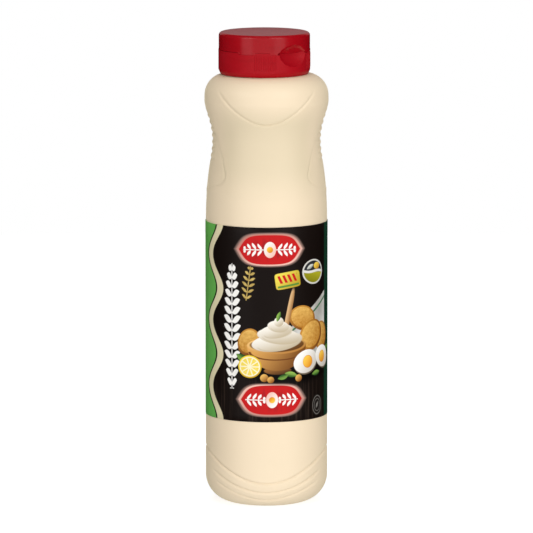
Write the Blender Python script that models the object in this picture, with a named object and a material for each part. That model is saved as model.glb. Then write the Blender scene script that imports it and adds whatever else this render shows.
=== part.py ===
"""A one-litre squeeze bottle of mayonnaise with a printed sleeve and a flip-top cap.

It stands on z = 0 with its axis on the origin, +Z up and its front towards -Y.
Sizes are in millimetres and angles in degrees. An angle round the bottle is
counted from the front, positive towards +X.
"""

import math

import bmesh
import bpy
from mathutils import Vector

MM = 0.001

# Body
BODY_RADIUS = 37.3
CORNER_RADIUS = 16.9
FOOT_RADIUS = BODY_RADIUS - CORNER_RADIUS
PUSH_UP = 1.6
PUSH_UP_RADIUS = 11.0
FOOT_INNER_RADIUS = 13.5
COLUMNS = 64

# The waist is a chain of stations: height, radius and slope of the radius.
TAPER_START = (174.3, 37.05, 0.0)
ABOVE_TAPER = (213.0, 33.8, -0.19)
WAIST = (223.5, 32.88, 0.0)
UNDER_SHOULDER = (237.0, 35.25, 0.31)
SHOULDER_START = (243.5, 37.0, 0.22)
SHOULDER = (250.0, 37.8, 0.0)
STATIONS = (TAPER_START, ABOVE_TAPER, WAIST, UNDER_SHOULDER, SHOULDER_START, SHOULDER)

# The shoulder's rounded top is a quarter of a superellipse.
SHOULDER_TOP = 263.7
SHOULDER_FLAT_RADIUS = 24.0
SHOULDER_POWER = 2.2

# Label
LABEL_RADIUS = 37.4
LABEL_BOTTOM = 54.4
LABEL_TOP = 173.7
LABEL_THICKNESS = 0.3
GAP = 0.3

# Teardrop grip panels at both sides
PANEL_BOTTOM = 190.0
PANEL_WIDEST = 203.0
PANEL_TOP = 246.0
PANEL_HALF_ANGLE = 43.0
PANEL_DEPTH = 0.35
PANEL_EDGE = 5.0
RIB_HALF_ANGLE = 14.0
RIB_FADE = 8.0
RIB_BOTTOM = 211.5
RIB_TOP = 244.0
RIB_TIP = 242.1
RIB_PITCH = 4.06
RIB_HEIGHT = 0.35

# Grooves: height at the front, rise at the side, the angle they run to,
# width and depth. The first base groove runs right round the bottle.
SHOULDER_GROOVE = (235.3, 32.0, 56.0, 1.9, 0.45)
BASE_WAVE = (16.0, 17.9, 90.0, 1.9, 0.45)
BASE_GROOVES = ((10.8, 14.9, 58.0, 1.9, 0.45), (5.2, 14.9, 54.0, 1.9, 0.45))

# Points that a cut leaves closer than this become one.
MERGE = 0.02

# Cap
CAP_X = -1.3
CAP_BOTTOM = SHOULDER_TOP + GAP
CAP_TOP = 289.3
SKIRT_RADIUS = 28.0
LID_RADIUS = 27.8
CHAMFER_HEIGHT = 2.6
CHAMFER_DEPTH = 1.2
LID_EDGE_RADIUS = 2.0
PARTING = 278.7
LIP_DROP = 1.15
THUMB_ANGLE = 40.5
THUMB_HALF_ANGLE = 21.5
THUMB_RISE = 4.0
THUMB_DROP = 9.6
LID_SCOOP = 1.5
SKIRT_SCOOP = 2.7
CAP_RIB_ZONE = (-12.0, 14.0)
CAP_RIB_STEP = 1.625
CAP_RIB_DEPTH = 0.35
LIP_ZONES = ((-33.0, -13.0), (9.0, 18.5))


def clear_scene():
    """Start from an empty file."""
    for item in list(bpy.data.objects):
        bpy.data.objects.remove(item)


def smooth_step(low, high, value):
    """Rise smoothly from 0 at low to 1 at high."""
    share = min(1.0, max(0.0, (value - low) / (high - low)))
    return share * share * (3.0 - 2.0 * share)


def window(low, high, value, soft):
    """Be 1 between low and high and fade to 0 over the width soft."""
    return smooth_step(low - soft, low, value) * (1.0 - smooth_step(high, high + soft, value))


def wrapped(angle):
    """Bring an angle into -180 to 180 degrees."""
    return (angle + 180.0) % 360.0 - 180.0


def round_point(radius, angle, height):
    """Turn a radius, an angle from the front and a height into a point."""
    turn = math.radians(angle)
    return Vector((radius * math.sin(turn), -radius * math.cos(turn), height))


def station_radius(height):
    """Read the waist's radius off a smooth curve through the stations."""
    if height <= STATIONS[0][0]:
        return STATIONS[0][1]
    for lower, upper in zip(STATIONS, STATIONS[1:]):
        if height <= upper[0]:
            length = upper[0] - lower[0]
            share = (height - lower[0]) / length
            blend = share * share * (3.0 - 2.0 * share)
            start_pull = share * (1.0 - share) ** 2 * length * lower[2]
            end_pull = share * share * (share - 1.0) * length * upper[2]
            return lower[1] + (upper[1] - lower[1]) * blend + start_pull + end_pull
    return STATIONS[-1][1]


def outside_radius(height):
    """Give the plain body's radius at a height, from foot to shoulder top."""
    if height < CORNER_RADIUS:
        drop = CORNER_RADIUS - height
        return FOOT_RADIUS + math.sqrt(max(0.0, CORNER_RADIUS ** 2 - drop ** 2))
    if height > SHOULDER[0]:
        share = (height - SHOULDER[0]) / (SHOULDER_TOP - SHOULDER[0])
        reach = max(0.0, 1.0 - share ** SHOULDER_POWER) ** (1.0 / SHOULDER_POWER)
        return SHOULDER_FLAT_RADIUS + (SHOULDER[1] - SHOULDER_FLAT_RADIUS) * reach
    return station_radius(height)


def outward(angle, height):
    """Give the plain body's outward normal at a point of its side."""
    step = 0.05
    rise = outside_radius(height + step) - outside_radius(height - step)
    tilt = math.atan2(-rise, 2.0 * step)
    flat = round_point(math.cos(tilt), angle, math.sin(tilt))
    return flat.normalized()


def panel_half_angle(height):
    """Give the grip panel's half width at a height, as an angle."""
    if height <= PANEL_BOTTOM or height >= PANEL_TOP:
        return 0.0
    if height < PANEL_WIDEST:
        share = (PANEL_WIDEST - height) / (PANEL_WIDEST - PANEL_BOTTOM)
        return PANEL_HALF_ANGLE * math.sqrt(1.0 - share * share)
    share = (height - PANEL_WIDEST) / (PANEL_TOP - PANEL_WIDEST)
    return PANEL_HALF_ANGLE * (1.0 - share ** 1.25)


def grip_relief(angle, height):
    """Give the height of the grip panels' relief above the plain body."""
    if not PANEL_BOTTOM - 6.0 < height < PANEL_TOP + 4.0:
        return 0.0
    beside = abs(abs(wrapped(angle)) - 90.0)
    inside = smooth_step(-PANEL_EDGE / 2, PANEL_EDGE / 2, panel_half_angle(height) - beside)
    proud = PANEL_DEPTH * window(PANEL_BOTTOM, PANEL_TOP, height, 4.0)
    wave = math.cos(2.0 * math.pi * (height - RIB_TIP) / RIB_PITCH)
    ribs = RIB_HEIGHT * wave * window(RIB_BOTTOM, RIB_TOP, height, 1.0)
    ribs *= 1.0 - smooth_step(RIB_HALF_ANGLE, RIB_HALF_ANGLE + RIB_FADE, beside)
    return proud * (1.0 - inside) + ribs * inside


def solid_from_rings(name, rings, capped=True):
    """Join rings of points into one closed solid.

    Capped rings run from the bottom to the top and get flat ends. Rings that
    aren't capped close on themselves, as a tube's section does.
    """
    mesh = bmesh.new()
    rows = []
    for ring in rings:
        row = []
        for point in ring:
            row.append(mesh.verts.new(point * MM))
        rows.append(row)
    pairs = list(zip(rows, rows[1:]))
    if not capped:
        pairs.append((rows[-1], rows[0]))
    for lower, upper in pairs:
        for i in range(len(lower)):
            j = (i + 1) % len(lower)
            mesh.faces.new((lower[i], lower[j], upper[j], upper[i]))
    if capped:
        for row, order in ((rows[0], -1), (rows[-1], 1)):
            middle = mesh.verts.new(sum((v.co for v in row), Vector()) / len(row))
            for i in range(len(row)):
                j = (i + 1) % len(row)
                mesh.faces.new((row[i], row[j], middle)[::order])
    bmesh.ops.triangulate(mesh, faces=mesh.faces[:])
    bmesh.ops.recalc_face_normals(mesh, faces=mesh.faces[:])
    data = bpy.data.meshes.new(name)
    mesh.to_mesh(data)
    mesh.free()
    item = bpy.data.objects.new(name, data)
    bpy.context.scene.collection.objects.link(item)
    return item


def even_columns():
    """Give the body's columns as angles."""
    return [360.0 * i / COLUMNS for i in range(COLUMNS)]


def plain_ring(radius, height):
    """Make one level ring of the body's columns."""
    return [round_point(radius, angle, height) for angle in even_columns()]


def relief_ring(height):
    """Make one ring of the outer skin with the grips' relief on it."""
    ring = []
    for angle in even_columns():
        radius = outside_radius(height) + grip_relief(angle, height)
        ring.append(round_point(radius, angle, height))
    return ring


def body_heights():
    """List the heights of the rings above the label."""
    heights = [180.0, 188.0, 192.5, 197.0, 202.0, 207.0]
    third = RIB_PITCH / 3.0
    height = RIB_TIP - 7 * RIB_PITCH - third
    while height < RIB_TOP + 1.0:
        heights.append(height)
        height += third
    heights += [247.5, SHOULDER[0]]
    return heights


def make_body():
    """Turn the body from its foot to its shoulder, with the label's seat."""
    seat = LABEL_RADIUS - LABEL_THICKNESS - GAP
    rings = [plain_ring(PUSH_UP_RADIUS, PUSH_UP)]
    rings.append(plain_ring(FOOT_INNER_RADIUS, 0.0))
    rings.append(plain_ring(FOOT_RADIUS, 0.0))
    steps = 7
    for i in range(1, steps + 1):
        turn = math.radians(90.0 * i / steps)
        radius = FOOT_RADIUS + CORNER_RADIUS * math.sin(turn)
        rings.append(plain_ring(radius, CORNER_RADIUS * (1.0 - math.cos(turn))))
    rings.append(plain_ring(BODY_RADIUS, LABEL_BOTTOM - GAP))
    rings.append(plain_ring(seat, LABEL_BOTTOM - GAP))
    rings.append(plain_ring(seat, LABEL_TOP + GAP))
    rings.append(plain_ring(TAPER_START[1], LABEL_TOP + GAP))
    for height in body_heights():
        rings.append(relief_ring(height))
    steps = 6
    for i in range(1, steps + 1):
        turn = math.radians(90.0 * i / steps)
        across = math.cos(turn) ** (2.0 / SHOULDER_POWER) if i < steps else 0.0
        rise = math.sin(turn) ** (2.0 / SHOULDER_POWER)
        radius = SHOULDER_FLAT_RADIUS + (SHOULDER[1] - SHOULDER_FLAT_RADIUS) * across
        height = SHOULDER[0] + (SHOULDER_TOP - SHOULDER[0]) * rise
        rings.append(plain_ring(radius, height))
    return solid_from_rings("bottle", rings)


def groove_section(angle, height, slope_point, width, depth):
    """Make a V cutter's section: its tip under the skin and its sides above it."""
    normal = outward(angle, height)
    skin = outside_radius(height) + grip_relief(angle, height)
    point = round_point(skin, angle, height)
    along = (slope_point - point).normalized()
    across = normal.cross(along).normalized()
    lift = 0.6
    half = width / 2.0 * (depth + lift) / max(depth, 0.15)
    half = min(half, width)
    tip = point - normal * depth
    top = point + normal * lift
    return [tip, top + across * half, top - across * half]


def make_groove(name, groove, middle, whole=False):
    """Sweep a V cutter along a groove that is lowest at the angle middle."""
    front, rise, reach, width, depth = groove
    sections = []
    count = 60 if whole else 18
    start, end = (0.0, 360.0) if whole else (-reach, reach)
    for i in range(count if whole else count + 1):
        share = i / count
        turn = start + (end - start) * share
        height = front + rise * math.sin(math.radians(turn)) ** 2
        ahead = turn + 0.5
        ahead_height = front + rise * math.sin(math.radians(ahead)) ** 2
        ahead_radius = outside_radius(ahead_height) + grip_relief(middle + ahead, ahead_height)
        slope_point = round_point(ahead_radius, middle + ahead, ahead_height)
        deep = depth
        if not whole:
            fade = 1.0 - smooth_step(0.72, 1.0, abs(turn) / reach)
            deep = depth * fade - 0.15 * (1.0 - fade)
        sections.append(groove_section(middle + turn, height, slope_point, width, deep))
    return solid_from_rings(name, sections, capped=not whole)


def cut_grooves(body):
    """Cut the shoulder's smiles and the base's waves into the body."""
    cutters = [make_groove("wave", BASE_WAVE, 0.0, whole=True)]
    for middle in (0.0, 180.0):
        cutters.append(make_groove("smile", SHOULDER_GROOVE, middle))
        for groove in BASE_GROOVES:
            cutters.append(make_groove("low", groove, middle))
    for cutter in cutters:
        cut = body.modifiers.new("groove", "BOOLEAN")
        cut.operation = "DIFFERENCE"
        cut.solver = "MANIFOLD"
        cut.object = cutter
        apply_modifiers(body)
    for cutter in cutters:
        bpy.data.objects.remove(cutter)
    tidy_mesh(body)


def apply_modifiers(item):
    """Bake an object's modifiers into its mesh."""
    graph = bpy.context.evaluated_depsgraph_get()
    baked = bpy.data.meshes.new_from_object(item.evaluated_get(graph))
    item.modifiers.clear()
    item.data = baked


def tidy_mesh(item):
    """Merge the points that a cut left almost in one place."""
    mesh = bmesh.new()
    mesh.from_mesh(item.data)
    bmesh.ops.remove_doubles(mesh, verts=mesh.verts[:], dist=MERGE * MM)
    bmesh.ops.triangulate(mesh, faces=mesh.faces[:])
    bmesh.ops.recalc_face_normals(mesh, faces=mesh.faces[:])
    mesh.to_mesh(item.data)
    mesh.free()


def make_label():
    """Make the printed sleeve that lies in the body's seat."""
    outer = LABEL_RADIUS
    inner = LABEL_RADIUS - LABEL_THICKNESS
    rings = [
        plain_ring(outer, LABEL_BOTTOM),
        plain_ring(outer, LABEL_TOP),
        plain_ring(inner, LABEL_TOP),
        plain_ring(inner, LABEL_BOTTOM),
    ]
    return solid_from_rings("label", rings, capped=False)


def mirrored_angle(angle):
    """Mirror an angle in the plane through the cap's axis and the thumb recess."""
    return wrapped(2.0 * THUMB_ANGLE - angle)


def nearest_half(angle):
    """Bring a cap angle to the half that the photograph shows."""
    turn = wrapped(angle - THUMB_ANGLE)
    return THUMB_ANGLE - abs(turn)


def parting_height(angle):
    """Give the height of the line where the lid meets the skirt."""
    side = nearest_half(angle)
    drop = 0.0
    for low, high in LIP_ZONES:
        drop = max(drop, window(low, high, side, 2.5))
    tab = max(0.0, 1.0 - ((side - THUMB_ANGLE) / THUMB_HALF_ANGLE) ** 2)
    return PARTING - LIP_DROP * drop - 1.0 * tab


def thumb_share(angle, height, reach):
    """Give 1 in the middle of the thumb recess, falling to 0 at its edge."""
    across = wrapped(angle - THUMB_ANGLE) / THUMB_HALF_ANGLE
    up = (height - PARTING) / reach
    return max(0.0, 1.0 - across * across - up * up)


def cap_columns():
    """Space the cap's columns closely where it has ribs or the recess."""
    angles = []
    low, high = CAP_RIB_ZONE
    count = round((high - low) / CAP_RIB_STEP)
    for i in range(count + 1):
        side = low + (high - low) * i / count
        angles.append(side % 360.0)
        angles.append(mirrored_angle(side) % 360.0)
    for side in (-36.0, -33.0, -23.0, -15.0, 16.5, 18.5):
        angles.append(side % 360.0)
        angles.append(mirrored_angle(side) % 360.0)
    for i in range(11):
        angles.append(THUMB_ANGLE + THUMB_HALF_ANGLE * 0.96 * (i - 5) / 5.0)
    last = mirrored_angle(-36.0)
    count = 25
    first = -36.0 + 360.0
    for i in range(1, count):
        angles.append(last + (first - last) * i / count)
    return sorted(angle % 360.0 for angle in angles)


def cap_point(radius, angle, height):
    """Place a cap point round the cap's own axis."""
    return round_point(radius, angle, height) + Vector((CAP_X, 0.0, 0.0))


def skirt_radius(angle, height):
    """Give the skirt's radius, with its ribs, thumb recess and lower chamfer."""
    top = parting_height(angle) - GAP
    above = height - CAP_BOTTOM
    chamfer = max(0.0, 1.0 - above / CHAMFER_HEIGHT)
    radius = SKIRT_RADIUS - CHAMFER_DEPTH * chamfer ** 1.5
    low, high = CAP_RIB_ZONE
    side = nearest_half(angle)
    if low - 0.1 <= side <= high + 0.1:
        index = round((side - low) / CAP_RIB_STEP)
        ribbed = window(CAP_BOTTOM + 4.2, top - 1.0, height, 0.7)
        radius -= CAP_RIB_DEPTH * (index % 2) * ribbed
    radius -= SKIRT_SCOOP * thumb_share(angle, height, THUMB_DROP) ** 0.7
    return radius


def make_skirt():
    """Make the cap's lower half, which stays on the bottle."""
    columns = cap_columns()
    shares = (0.0, 0.07, 0.18, 0.3, 0.45, 0.62, 0.8, 0.93, 1.0)
    rings = []
    inner = SKIRT_RADIUS - CHAMFER_DEPTH - 0.6
    rings.append([cap_point(inner, angle, CAP_BOTTOM) for angle in columns])
    for share in shares:
        ring = []
        for angle in columns:
            top = parting_height(angle) - GAP
            height = CAP_BOTTOM + (top - CAP_BOTTOM) * share
            ring.append(cap_point(skirt_radius(angle, height), angle, height))
        rings.append(ring)
    inner = SKIRT_RADIUS - 4.0
    top = PARTING - GAP
    rings.append([cap_point(inner, angle, parting_height(angle) - GAP) for angle in columns])
    rings.append([cap_point(inner - 3.0, angle, top) for angle in columns])
    return solid_from_rings("cap_base", rings)


def lid_radius(angle, height):
    """Give the lid's radius, with the upper half of the thumb recess."""
    return LID_RADIUS - LID_SCOOP * thumb_share(angle, height, THUMB_RISE) ** 0.7


def make_lid():
    """Make the cap's flip lid, shut on the skirt."""
    columns = cap_columns()
    rings = []
    inner = SKIRT_RADIUS - 4.0
    rings.append([cap_point(inner - 3.0, angle, PARTING) for angle in columns])
    rings.append([cap_point(inner, angle, parting_height(angle)) for angle in columns])
    for share in (0.0, 0.16, 0.32, 0.48):
        ring = []
        for angle in columns:
            bottom = parting_height(angle)
            height = bottom + (CAP_TOP - LID_EDGE_RADIUS - bottom) * share
            ring.append(cap_point(lid_radius(angle, height), angle, height))
        rings.append(ring)
    for turn in (0.0, 30.0, 60.0, 90.0):
        radius = LID_RADIUS - LID_EDGE_RADIUS * (1.0 - math.cos(math.radians(turn)))
        height = CAP_TOP - LID_EDGE_RADIUS * (1.0 - math.sin(math.radians(turn)))
        rings.append([cap_point(radius, angle, height) for angle in columns])
    return solid_from_rings("cap_lid", rings)


def paint(item, color, roughness):
    """Give an object one plain material."""
    material = bpy.data.materials.new(item.name)
    material.use_nodes = True
    surface = material.node_tree.nodes["Principled BSDF"]
    surface.inputs["Base Color"].default_value = color + (1.0,)
    surface.inputs["Roughness"].default_value = roughness
    item.data.materials.clear()
    item.data.materials.append(material)


def main():
    clear_scene()
    body = make_body()
    cut_grooves(body)
    paint(body, (0.85, 0.72, 0.50), 0.4)
    paint(make_label(), (0.02, 0.015, 0.012), 0.35)
    paint(make_skirt(), (0.42, 0.01, 0.02), 0.25)
    paint(make_lid(), (0.42, 0.01, 0.02), 0.25)


main()
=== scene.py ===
import math

import bmesh
import bpy
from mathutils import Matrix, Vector


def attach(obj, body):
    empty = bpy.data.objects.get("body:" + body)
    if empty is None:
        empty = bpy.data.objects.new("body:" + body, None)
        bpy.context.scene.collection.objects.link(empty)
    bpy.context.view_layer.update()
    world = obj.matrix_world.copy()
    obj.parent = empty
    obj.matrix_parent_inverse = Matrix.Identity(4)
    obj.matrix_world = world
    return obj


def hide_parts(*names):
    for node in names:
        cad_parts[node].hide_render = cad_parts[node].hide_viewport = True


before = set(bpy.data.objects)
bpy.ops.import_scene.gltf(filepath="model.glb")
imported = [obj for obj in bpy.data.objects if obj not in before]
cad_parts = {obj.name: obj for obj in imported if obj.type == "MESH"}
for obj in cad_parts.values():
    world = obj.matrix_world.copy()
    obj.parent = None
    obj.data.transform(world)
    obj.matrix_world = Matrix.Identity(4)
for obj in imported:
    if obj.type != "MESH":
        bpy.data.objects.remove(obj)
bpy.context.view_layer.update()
print("nodes", sorted(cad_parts))

# %% [markdown]
# ## Measures
# The main sizes below are the ones that the solids were made from, in
# millimetres. The shoulder's curve, the thumb recess, the ribs and the edges
# are set finer, against the photograph. Angles go round the bottle from the
# middle of the label, positive to the right. One place for all of them means
# that a piece can't drift away from the solid that it stands for.
# %% Measures of the body
MM = 0.001
BODY_RADIUS = 37.3
CORNER_RADIUS = 16.9
FOOT_RADIUS = BODY_RADIUS - CORNER_RADIUS
FOOT_INNER_RADIUS = 13.5
PUSH_UP = 1.6
PUSH_UP_RADIUS = 11.0
STATIONS = (
    (174.3, 37.05, 0.0),
    (213.0, 33.8, -0.19),
    (223.5, 32.88, 0.0),
    (237.0, 35.25, 0.31),
    (243.5, 37.0, 0.22),
    (250.0, 37.8, 0.0),
)
SHOULDER_HEIGHT, SHOULDER_RADIUS = STATIONS[-1][:2]
SHOULDER_TOP = 263.7
SHOULDER_FLAT_RADIUS = 24.0
SHOULDER_POWER = 2.1
LABEL_RADIUS = 37.4
LABEL_BOTTOM, LABEL_TOP = 54.4, 173.7
LABEL_THICKNESS = 0.3
SEAT_CLEARANCE = 0.08

# %% Measures of the cap
CAP_X = -1.3
CAP_BOTTOM, CAP_TOP = 264.0, 289.3
SKIRT_RADIUS, LID_RADIUS = 28.0, 27.8
CHAMFER_HEIGHT, CHAMFER_DEPTH, CHAMFER_POWER = 2.8, 1.2, 1.25
LID_EDGE_RADIUS = 2.0
LID_CROWN = 0.3
PARTING = 278.7
TIGHT_GAP, LOOSE_GAP = 0.04, 0.17
LOOSE_UP_TO, TIGHT_FROM = -37.0, -31.0
LIP_DROP, LIP_FADE, TAB_DROP = 1.15, 2.0, 1.0
LIP_ZONES = ((-33.0, -13.0), (9.0, 18.5))
THUMB_ANGLE, THUMB_HALF_ANGLE = 40.5, 21.5
THUMB_RISE, THUMB_DROP = 4.3, 8.8
LID_SCOOP, SKIRT_SCOOP = 3.3, 4.4
ARCH_POWER, LID_SCOOP_POWER, SKIRT_SCOOP_POWER = 2.5, 0.62, 0.7
RIB_ZONE = (-12.0, 14.0)
RIB_COUNT, RIB_RADIUS, RIB_LENGTH = 10, 0.4, 10.8
RIB_FIELD_DEPTH, RIB_SINK = 0.18, 0.14
RIB_FIELD_FOOT, RIB_FIELD_HEAD = 3.0, 1.0
RIB_FIELD_MARGIN, RIB_SIDE_FADE, RIB_END_FADE = 0.8, 0.6, 0.5

# %% [markdown]
# ## Meshes from rings
# A turned piece is a stack of rings of points. Joining each ring to the next
# and closing both ends gives a closed skin with its faces outwards. A sleeve
# is the same with its last ring joined to its first. It is a little more work
# than a ready-made cylinder, but every ring can follow its own rule.
# %% Rings into a mesh
def round_point(radius, angle, height, x=0.0):
    """Place a point by radius, angle from the front in degrees, and height."""
    turn = math.radians(angle)
    return Vector((radius * math.sin(turn) + x, -radius * math.cos(turn), height)) * MM


def level_ring(radius, height, columns, x=0.0):
    """Make one level ring of a turned piece."""
    return [round_point(radius, angle, height, x) for angle in columns]


def keep_mesh(name, skin):
    """Turn a working mesh into an object of the scene."""
    data = bpy.data.meshes.new(name)
    skin.to_mesh(data)
    skin.free()
    piece = bpy.data.objects.new(name, data)
    bpy.context.scene.collection.objects.link(piece)
    return piece


def piece_from_rings(name, rings, capped=True):
    """Join rings into one closed mesh and link its object to the scene."""
    skin = bmesh.new()
    rows = [[skin.verts.new(point) for point in ring] for ring in rings]
    pairs = list(zip(rows, rows[1:]))
    if not capped:
        pairs.append((rows[-1], rows[0]))
    for lower, upper in pairs:
        for i in range(len(lower)):
            j = (i + 1) % len(lower)
            skin.faces.new((lower[i], lower[j], upper[j], upper[i]))
    if capped:
        for row, order in ((rows[0], -1), (rows[-1], 1)):
            middle = skin.verts.new(sum((v.co for v in row), Vector()) / len(row))
            for i in range(len(row)):
                j = (i + 1) % len(row)
                skin.faces.new((row[i], row[j], middle)[::order])
    bmesh.ops.recalc_face_normals(skin, faces=skin.faces[:])
    return keep_mesh(name, skin)


def smooth_piece(piece, crease=35.0):
    """Shade a piece smooth, but keep edges sharper than the angle crease."""
    piece.data.shade_smooth()
    piece.data.set_sharp_from_angle(angle=math.radians(crease))
    faces = sum(len(face.vertices) - 2 for face in piece.data.polygons)
    print(piece.name, "has", faces, "triangles")


# %% Blends that the shapes share
def smooth_step(low, high, value):
    """Rise smoothly from 0 at low to 1 at high."""
    share = min(1.0, max(0.0, (value - low) / (high - low)))
    return share * share * (3.0 - 2.0 * share)


def window(low, high, value, soft):
    """Be 1 between low and high and fade to 0 over the width soft."""
    return smooth_step(low - soft, low, value) * (1.0 - smooth_step(high, high + soft, value))


# %% [markdown]
# ## A bench for nodes
# Shader trees and Geometry Nodes trees are built alike, so one small class
# adds nodes to either. A wire wraps a node's output and knows plain
# arithmetic, so that a rule reads as a formula and each operator adds its
# Math node.
# %% Bench and wires
class Wire:
    """An output socket that adds a Math node for each operator used on it."""

    def __init__(self, bench, socket):
        self.bench = bench
        self.socket = socket

    def math(self, operation, *others):
        """Add one Math node with this wire first."""
        sockets = dict(enumerate((self, *others)))
        return self.bench.take("ShaderNodeMath", {"operation": operation}, sockets)

    def __add__(self, other):
        return self.math("ADD", other)

    __radd__ = __add__

    def __mul__(self, other):
        return self.math("MULTIPLY", other)

    __rmul__ = __mul__

    def __sub__(self, other):
        return self.math("SUBTRACT", other)

    def __rsub__(self, other):
        return self.math("MULTIPLY_ADD", -1.0, other)

    def __truediv__(self, other):
        return self.math("DIVIDE", other)

    def __rtruediv__(self, other):
        return self.math("POWER", -1.0) * other

    def __pow__(self, other):
        return self.math("POWER", other)

    def __neg__(self):
        return self.math("MULTIPLY", -1.0)

    def __abs__(self):
        return self.math("ABSOLUTE")


class Bench:
    """Adds nodes to one tree and joins them."""

    def __init__(self, tree):
        self.tree = tree

    def add(self, kind, settings=None, sockets=None):
        """Add a node, set it up, and fill its sockets with values or wires."""
        node = self.tree.nodes.new(kind)
        for name, value in (settings or {}).items():
            setattr(node, name, value)
        for key, value in (sockets or {}).items():
            if isinstance(value, Wire):
                self.tree.links.new(value.socket, node.inputs[key])
            else:
                node.inputs[key].default_value = value
        return node

    def wire(self, node, output=0):
        """Take one of a node's outputs as a wire."""
        return Wire(self, node.outputs[output])

    def take(self, kind, settings=None, sockets=None, output=0):
        """Add a node and take one of its outputs as a wire."""
        return self.wire(self.add(kind, settings, sockets), output)

    def feed(self, shader, socket, wire):
        """Join a wire to one of the sockets of a shader."""
        self.tree.links.new(wire.socket, shader.inputs[socket])

    def parts(self, vector):
        """Split a vector into its three parts."""
        node = self.add("ShaderNodeSeparateXYZ", None, {0: vector})
        return [self.wire(node, i) for i in range(3)]

    def vector(self, x=0.0, y=0.0, z=0.0):
        """Join three values or wires into a vector."""
        return self.take("ShaderNodeCombineXYZ", None, {0: x, 1: y, 2: z})

    def least(self, first, second):
        """Take the smaller of a wire and another value."""
        return first.math("MINIMUM", second)

    def most(self, first, second):
        """Take the larger of a wire and another value."""
        return first.math("MAXIMUM", second)

    def rise(self, low, high, value):
        """Go smoothly from 0 at low to 1 at high."""
        sockets = {"Value": value, "From Min": low, "From Max": high}
        return self.take("ShaderNodeMapRange", {"interpolation_type": "SMOOTHSTEP"}, sockets)

    def between(self, low, high, value, soft):
        """Be 1 between low and high and fade to 0 over the width soft."""
        return self.rise(low - soft, low, value) * (1.0 - self.rise(high, high + soft, value))


# %% [markdown]
# ## Geometry Nodes trees
# A tree gets named inputs for its sizes, so that a rule can be tried with
# other sizes in Blender's own modifier panel. Once it is right, the result is
# kept as a plain mesh and the modifier goes.
# %% Trees and how they are used
def new_rule(name, sizes):
    """Start a Geometry Nodes tree with one named input for each size."""
    tree = bpy.data.node_groups.new(name, "GeometryNodeTree")
    tree.interface.new_socket("Geometry", in_out="INPUT", socket_type="NodeSocketGeometry")
    tree.interface.new_socket("Geometry", in_out="OUTPUT", socket_type="NodeSocketGeometry")
    for size, value in sizes.items():
        kind = "NodeSocketInt" if isinstance(value, int) else "NodeSocketFloat"
        tree.interface.new_socket(size, in_out="INPUT", socket_type=kind)
    tree.interface.new_socket("Material", in_out="INPUT", socket_type="NodeSocketMaterial")
    bench = Bench(tree)
    given = bench.add("NodeGroupInput")
    return bench, given


def finish_rule(bench, given, geometry):
    """Realize the instances, set the material and close the tree."""
    real = bench.take("GeometryNodeRealizeInstances", None, {0: geometry})
    sockets = {"Geometry": real, "Material": bench.wire(given, "Material")}
    dressed = bench.take("GeometryNodeSetMaterial", None, sockets)
    bench.add("NodeGroupOutput", None, {0: dressed})


def apply_rule(piece, bench, sizes, material):
    """Run a tree on a piece and keep the result as the piece's plain mesh."""
    modifier = piece.modifiers.new("rule", "NODES")
    modifier.node_group = bench.tree
    for item in bench.tree.interface.items_tree:
        if item.in_out == "INPUT" and item.name in sizes:
            modifier[item.identifier] = sizes[item.name]
        if item.in_out == "INPUT" and item.name == "Material":
            modifier[item.identifier] = material
    graph = bpy.context.evaluated_depsgraph_get()
    made = bpy.data.meshes.new_from_object(piece.evaluated_get(graph))
    piece.modifiers.clear()
    piece.data = made
    print(piece.name, "follows the rule", bench.tree.name, "with", len(made.vertices), "points")


# %% [markdown]
# ## Materials start plain
# Each finish begins as one Principled shader and gets its colour and relief
# further down, once its piece exists. A value that is the same everywhere is
# set on the shader's own socket.
# %% Start a material
PLASTIC_IOR = 1.5


def set_sockets(shader, values):
    """Set what is the same all over on the shader's own sockets."""
    for socket, value in values.items():
        shader.inputs[socket].default_value = value


def new_finish(name, roughness):
    """Make a material and return it with its bench and its shader."""
    material = bpy.data.materials.new(name)
    material.use_nodes = True
    shader = material.node_tree.nodes["Principled BSDF"]
    set_sockets(shader, {"Roughness": roughness, "IOR": PLASTIC_IOR})
    return material, Bench(material.node_tree), shader


def linear(red, green, blue):
    """Turn a colour from 0 to 255, as on a screen, into linear light."""
    shades = []
    for shade in (red, green, blue):
        share = shade / 255.0
        shades.append(share / 12.92 if share <= 0.04045 else ((share + 0.055) / 1.055) ** 2.4)
    return tuple(shades)


def paint(color):
    """Add the alpha that colour sockets want."""
    return (*color, 1.0)


# %% [markdown]
# ## The body, turned first
# The mould's main form is a turned shape: a hollow foot, a wide rounded
# corner, a straight wall with a shallow seat for the sleeve, a waist drawn
# through a few stations, and a shoulder that is a quarter of a superellipse.
# The rings lie closer together where relief will be pressed in.
# %% The outline
def waist_radius(height):
    """Read the waist's radius off a smooth curve through the stations."""
    for lower, upper in zip(STATIONS, STATIONS[1:]):
        if height <= upper[0]:
            length = upper[0] - lower[0]
            share = max(0.0, (height - lower[0]) / length)
            blend = smooth_step(lower[0], upper[0], height)
            start_pull = share * (1.0 - share) ** 2 * length * lower[2]
            end_pull = share * share * (share - 1.0) * length * upper[2]
            return lower[1] + (upper[1] - lower[1]) * blend + start_pull + end_pull
    return SHOULDER_RADIUS


def spread(low, high, step):
    """List values from low to just before high, about step apart."""
    count = max(1, round((high - low) / step))
    return [low + (high - low) * i / count for i in range(count)]


BODY_COLUMNS = [360.0 * i / 320 for i in range(320)]


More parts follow.
